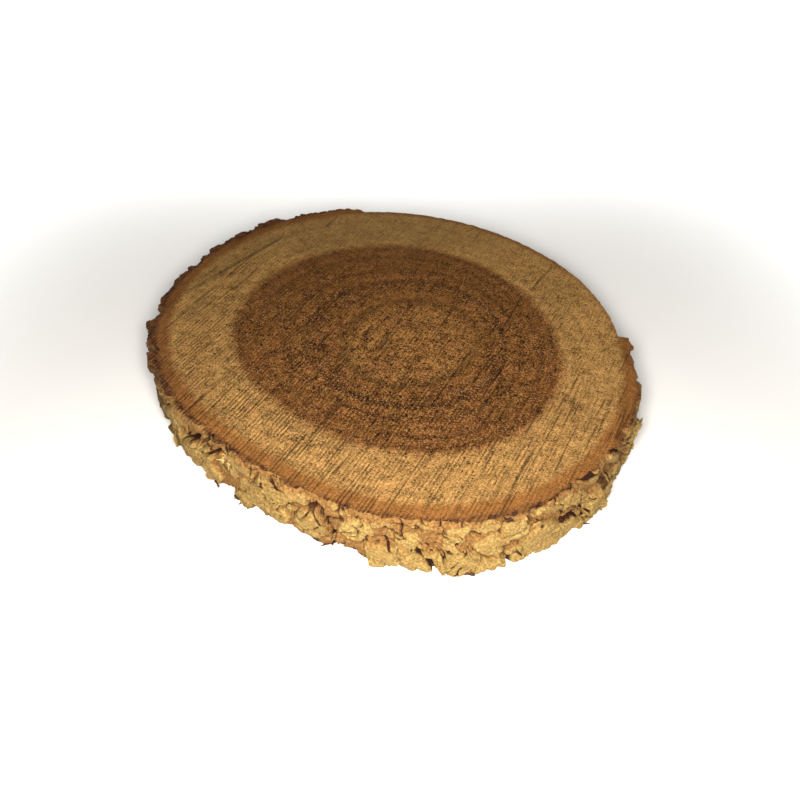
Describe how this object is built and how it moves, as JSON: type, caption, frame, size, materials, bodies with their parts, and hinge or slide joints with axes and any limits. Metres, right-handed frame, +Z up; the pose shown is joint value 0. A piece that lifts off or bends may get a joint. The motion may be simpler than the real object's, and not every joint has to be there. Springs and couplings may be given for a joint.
{
  "type": "wood slice",
  "caption": "Thin round slice sawn across a small log, with flat sawn faces, a dark heartwood, pale sapwood and flaky bark round most of the rim.",
  "frame": {"origin": "centre of the bounding box on the plane of the lower sawn face", "axes": "+Z up, square to the sawn faces; -Y to the front, where the bark shows most; +X to the right"},
  "size_m": [0.1026, 0.1034, 0.0132],
  "materials": {
    "wood": "raw sawn wood, dry and matt, with fine saw marks",
    "bark": "dry flaky bark, pale tan plates with dark brown fissures"
  },
  "bodies": {
    "root": {"wood_slice": "wood"}
  },
  "joints": []
}
